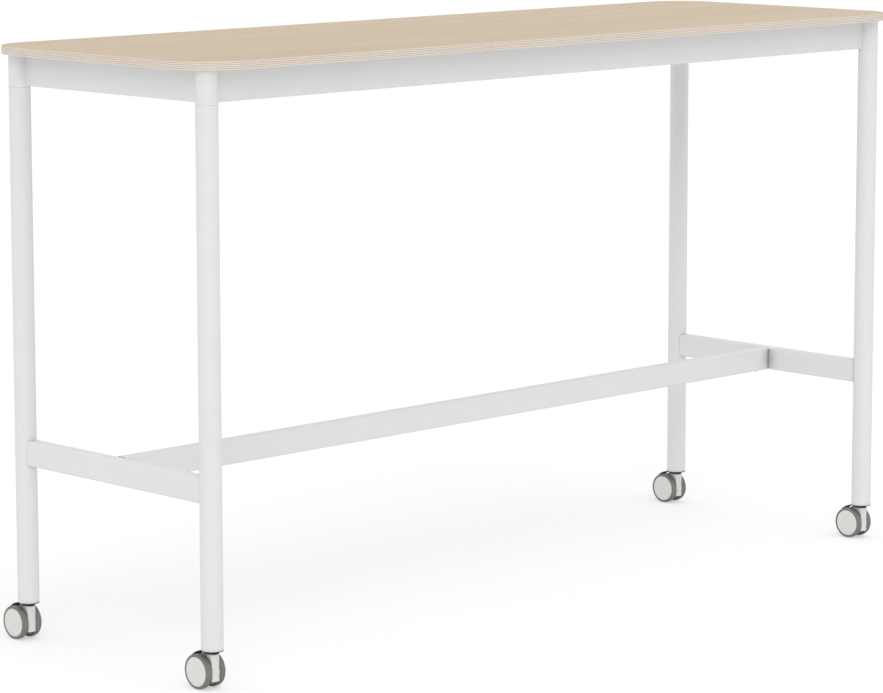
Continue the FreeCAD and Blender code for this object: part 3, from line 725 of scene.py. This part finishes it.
def make_tread(corner, side, sizes):
    """A soft tread ring with round shoulders and a slight crown."""
    node = f"{corner}_castor_{side}_tread"
    low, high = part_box(node)
    wheel_low, wheel_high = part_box(f"{corner}_castor_{side}_wheel")
    centre, outward = wheel_place(corner, side)
    ends = sorted(((low - centre).dot(outward), (high - centre).dot(outward)))
    middle = sum(ends) / 2
    rim = (wheel_high.z - wheel_low.z) / 2
    radius = (high.z - low.z) / 2
    shoulder = radius - sizes.tread_crown
    soft = sizes.tread_shoulder
    corners = [(ends[0], rim, 0), (ends[0], shoulder, soft), (middle, radius, soft),
               (ends[1], shoulder, soft), (ends[1], rim, 0)]
    shape = bmesh.new()
    profile = rounded(corners, EASE_STEPS)
    add_loft(shape, turned_rings(profile, centre, outward, TURNED_SIDES), closed=True)
    body = f"{corner}_castor_{side}_roller"
    make_piece(f"{corner}_{side}_tread_ring", shape, ("tread_rubber",), [node], body)


def make_collars(sizes):
    """The black swivel collars: a thin plate under each leg and a neck on each hood."""
    shape = bmesh.new()
    for low, high in separate_boxes("castor_collars"):
        centre = Vector(((low.x + high.x) / 2, (low.y + high.y) / 2, low.z))
        plate, top = high.z - low.z - sizes.collar_plate, high.z - low.z
        outer = (high.x - low.x) / 2
        ease = sizes.collar_plate / 3
        corners = [(0, sizes.collar_bore, 0), (0, sizes.collar_neck_radius, ease),
                   (plate, sizes.collar_neck_radius, sizes.collar_plate), (plate, outer, ease),
                   (top, outer, ease), (top, sizes.collar_bore, 0)]
        rings = turned_rings(rounded(corners, EASE_STEPS), centre, Z, TURNED_SIDES)
        add_loft(shape, rings, closed=True)
    make_piece("swivel_collars", shape, ("collar_plastic",), ["castor_collars"])


# Fasteners

def screw_direction(low, high):
    """A screw's axis as a direction from its head to its tip: up, or out from the table's middle."""
    size = high - low
    axis = max(range(3), key=lambda number: size[number])
    direction = Vector((0, 0, 0))
    direction[axis] = 1.0
    middle = (low + high) / 2
    if axis < 2:
        direction *= math.copysign(1.0, middle[axis])
    return direction, size[axis], min(size)


def make_screws(node, name, sizes):
    """Pan-head screws with a hexagon key hole, one for each solid in a packed group."""
    height, edge = sizes.head_height, sizes.head_edge
    shape = bmesh.new()
    for low, high in separate_boxes(node):
        direction, reach, width = screw_direction(low, high)
        start = (low + high) / 2 - direction * (reach / 2)
        head = width / 2
        shank = head * sizes.shank_share
        tip = shank * sizes.tip_share
        key = head * sizes.key_share
        corners = [(reach, tip, 0), (reach - tip, shank, tip / 2), (height, shank, 0), (height, head, edge),
                   (0, head, sizes.head_round), (0, key / math.cos(math.pi / 6) + edge, 0)]
        rings = turned_rings(rounded(corners, EASE_STEPS, closed=False), start, direction, SCREW_SIDES)
        rings.append(hexagon_ring(start, direction, key, edge, SCREW_SIDES))
        rings.append(hexagon_ring(start, direction, key, sizes.key_depth, SCREW_SIDES))
        add_loft(shape, rings, closed=False)
    make_piece(name, shape, ("zinc_plate",), [node])


def make_brackets(sizes):
    """Bent steel angles under the top, one leg on a rail and one on the board."""
    shape = bmesh.new()
    for low, high in separate_boxes("top_brackets"):
        middle = (low + high) / 2
        runs_along_x = abs(middle.x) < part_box("right_end_rail")[0].x - (high.x - low.x)
        outward = (Y if runs_along_x else X).copy()
        outward *= math.copysign(1.0, middle.dot(outward))
        along = Z.cross(outward)
        reach = abs((high - low).dot(outward))
        tall = high.z - low.z
        half = abs((high - low).dot(along)) / 2
        wall_face = Vector((middle.x, middle.y, high.z)) + outward * (reach / 2)
        thick = sizes.bracket_thickness
        corners = [(0, 0, sizes.bracket_bend), (0, -tall, 0), (-thick, -tall, 0),
                   (-thick, -thick, sizes.bracket_crook), (-reach, -thick, 0), (-reach, 0, 0)]
        outline = rounded(corners, EASE_STEPS)
        rings = []
        for place in (-half, half):
            rings.append([wall_face + outward * out + Z * rise + along * place for out, rise in outline])
        add_loft(shape, rings, closed=False)
    make_piece("bent_brackets", shape, ("zinc_plate",), ["top_brackets"])


# Stage

def make_floor(stage):
    """A white floor that keeps a soft shadow and can't be seen from below."""
    half = stage.floor_width / 2
    mesh = bpy.data.meshes.new("floor")
    corners = [(-half, -half), (half, -half), (half, half), (-half, half)]
    mesh.from_pydata([(x, y, -stage.floor_drop) for x, y in corners], [], [(0, 1, 2, 3)])
    floor = bpy.data.objects.new("floor", mesh)
    bpy.context.scene.collection.objects.link(floor)
    finish = Finish("white_floor")
    tree = finish.tree
    tree.nodes.remove(finish.shader)
    glow = finish.add("Emission", {"Color": (1, 1, 1, 1), "Strength": stage.floor_glow})[0]
    tone = finish.add("BsdfDiffuse", {"Color": (stage.floor_tone,) * 3 + (1,)})[0]
    shown = finish.add("AddShader", {0: glow, 1: tone})[0]
    bounce = finish.add("BsdfDiffuse", {"Color": (stage.floor_bounce,) * 3 + (1,)})[0]
    mixed = finish.add("MixShader", {0: finish.seen_directly(), 1: bounce, 2: shown})[0]
    clear = finish.add("BsdfTransparent", {})[0]
    below = finish.add("NewGeometry", {})["Backfacing"]
    sided = finish.add("MixShader", {0: below, 1: mixed, 2: clear})[0]
    tree.links.new(sided, tree.nodes["Material Output"].inputs["Surface"])
    mesh.materials.append(finish.material)


def make_surroundings(stage):
    """Even white surroundings that light the table, shown as plain white."""
    world = bpy.data.worlds.new("white_surroundings")
    bpy.context.scene.world = world
    world.use_nodes = True
    nodes = Nodes(world.node_tree)
    background = world.node_tree.nodes["Background"]
    lit = nodes.add("MapRange", {"Value": nodes.seen_directly(), "To Min": stage.dome_light, "To Max": 1.0})
    nodes.feed(background, {"Color": (1, 1, 1, 1), "Strength": lit["Result"]})


def make_lamp(name, strength, heading, height, spread):
    """A wide soft light from far away."""
    lamp = bpy.data.lights.new(name, "SUN")
    lamp.energy = strength
    lamp.angle = spread
    holder = bpy.data.objects.new(name, lamp)
    turn = Matrix.Rotation(-heading, 4, "Z")
    tilt = Matrix.Rotation(math.pi / 2 - height, 4, "X")
    holder.matrix_world = turn @ tilt
    bpy.context.scene.collection.objects.link(holder)


def make_camera(stage):
    """The camera at the photograph's place, with a small shift that keeps upright lines nearly upright."""
    data = bpy.data.cameras.new("camera")
    data.sensor_width = SENSOR_WIDTH
    data.lens = stage.camera_lens
    data.shift_y = stage.camera_shift
    data.clip_end = stage.floor_width * 2
    camera = bpy.data.objects.new("camera", data)
    bpy.context.scene.collection.objects.link(camera)
    turn = Matrix.Rotation(-stage.camera_heading, 4, "Z")
    tilt = Matrix.Rotation(math.pi / 2 + stage.camera_tilt, 4, "X")
    roll = Matrix.Rotation(stage.camera_roll, 4, "Z")
    camera.matrix_world = Matrix.Translation(stage.camera_place) @ turn @ tilt @ roll
    bpy.context.scene.camera = camera


# Operators

class HIGH_TABLE_OT_top(Operator):
    """Build the plywood top"""

    bl_idname = "high_table.make_top"
    bl_label = "Plywood top"

    def execute(self, context):
        make_top(context.scene.table_frame_sizes)
        return {"FINISHED"}


class HIGH_TABLE_OT_rails(Operator):
    """Build the apron rails and finish the corner castings that hold them"""

    bl_idname = "high_table.make_rails"
    bl_label = "Rails and corners"

    def execute(self, context):
        make_rails(context.scene.table_frame_sizes)
        for corner in CORNERS:
            dress_node(corner + "_corner", "powder_coat")
        return {"FINISHED"}


class HIGH_TABLE_OT_legs(Operator):
    """Build the leg tubes and the plugs in their feet"""

    bl_idname = "high_table.make_legs"
    bl_label = "Legs"

    def execute(self, context):
        scene = context.scene
        for corner in CORNERS:
            make_leg(corner, scene.table_frame_sizes)
            make_foot_plug(corner, scene.table_frame_sizes, scene.table_castor_sizes)
        return {"FINISHED"}


class HIGH_TABLE_OT_footrest(Operator):
    """Build the footrest's two end bars and its stretcher"""

    bl_idname = "high_table.make_footrest"
    bl_label = "Footrest"

    def execute(self, context):
        sizes = context.scene.table_frame_sizes
        for side in SIDES:
            make_end_bar(side, sizes)
        depth, reach = sizes.reveal_depth, sizes.reveal_length
        end = [(depth, 0.0), (depth, reach), (0.0, reach)]
        # The stretcher's coat has shade painted into its inner corners
        make_tube("stretcher_tube", "footrest_stretcher", X, sizes.bar_round, sizes.tube_wall, end,
                  "footrest_coat")
        return {"FINISHED"}


class HIGH_TABLE_OT_castors(Operator):
    """Build the castors' wheels, treads and collars and finish their hoods, axles and pedals"""

    bl_idname = "high_table.make_castors"
    bl_label = "Castors"

    def execute(self, context):
        sizes = context.scene.table_castor_sizes
        make_collars(sizes)
        for corner in CORNERS:
            # The hoods' plastic has shade painted into its inner corners
            dress_node(corner + "_castor_hood", "hood_plastic")
            dress_node(corner + "_castor_axle", "zinc_plate")
            dress_node(corner + "_castor_brake_pedal", "pedal_plastic")
            for side in SIDES:
                make_wheel(corner, side, sizes)
                make_tread(corner, side, sizes)
        return {"FINISHED"}


class HIGH_TABLE_OT_fasteners(Operator):
    """Build the brackets and screws and finish the steel pieces inside the frame"""

    bl_idname = "high_table.make_fasteners"
    bl_label = "Fasteners"

    def execute(self, context):
        sizes = context.scene.table_fastener_sizes
        make_brackets(sizes)
        make_screws("rail_screws", "rail_screw_set", sizes)
        make_screws("bracket_screws", "bracket_screw_set", sizes)
        make_screws("top_screws", "top_screw_set", sizes)
        make_screws("stretcher_screws", "stretcher_screw_set", sizes)
        for node in KEPT_STEEL:
            dress_node(node, "zinc_plate")
        return {"FINISHED"}


class HIGH_TABLE_OT_stage(Operator):
    """Set up the floor, the surroundings, the lamps and the camera"""

    bl_idname = "high_table.make_stage"
    bl_label = "Stage"

    def execute(self, context):
        stage = context.scene.table_stage
        make_floor(stage)
        make_surroundings(stage)
        make_lamp("key", stage.key_strength, stage.key_heading, stage.key_height, stage.key_spread)
        make_lamp("overhead", stage.over_strength, stage.over_heading, stage.over_height, stage.over_spread)
        make_camera(stage)
        context.scene.view_settings.view_transform = "Standard"
        return {"FINISHED"}


OPERATORS = (
    HIGH_TABLE_OT_top,
    HIGH_TABLE_OT_rails,
    HIGH_TABLE_OT_legs,
    HIGH_TABLE_OT_footrest,
    HIGH_TABLE_OT_castors,
    HIGH_TABLE_OT_fasteners,
    HIGH_TABLE_OT_stage,
)
GROUPS = {
    "table_frame_sizes": FrameSizes,
    "table_castor_sizes": CastorSizes,
    "table_fastener_sizes": FastenerSizes,
    "table_finishes": Finishes,
    "table_stage": StageSettings,
}


class HIGH_TABLE_PT_pieces(Panel):
    """Lists the table's pieces and the values that shape them"""

    bl_idname = "HIGH_TABLE_PT_pieces"
    bl_label = "Mobile high table"
    bl_space_type = "VIEW_3D"
    bl_region_type = "UI"
    bl_category = "High table"

    def draw(self, context):
        """One button for each group of pieces, then their values."""
        for operator in OPERATORS:
            self.layout.operator(operator.bl_idname)
        for name, group in GROUPS.items():
            box = self.layout.box()
            for value in group.__annotations__:
                box.prop(getattr(context.scene, name), value)


def register():
    """Makes the classes and the scene's values known to Blender."""
    for kind in (*GROUPS.values(), *OPERATORS, HIGH_TABLE_PT_pieces):
        bpy.utils.register_class(kind)
    for name, group in GROUPS.items():
        setattr(bpy.types.Scene, name, PointerProperty(type=group))


def unregister():
    """Takes the scene's values and the classes away again."""
    for name in GROUPS:
        delattr(bpy.types.Scene, name)
    for kind in (HIGH_TABLE_PT_pieces, *OPERATORS, *GROUPS.values()):
        bpy.utils.unregister_class(kind)


def main():
    """Builds the table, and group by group."""
    register()
    bpy.ops.high_table.make_top()
    bpy.ops.high_table.make_rails()
    bpy.ops.high_table.make_legs()
    bpy.ops.high_table.make_footrest()
    bpy.ops.high_table.make_castors()
    bpy.ops.high_table.make_fasteners()
    bpy.ops.high_table.make_stage()


if __name__ == "__main__":
    main()
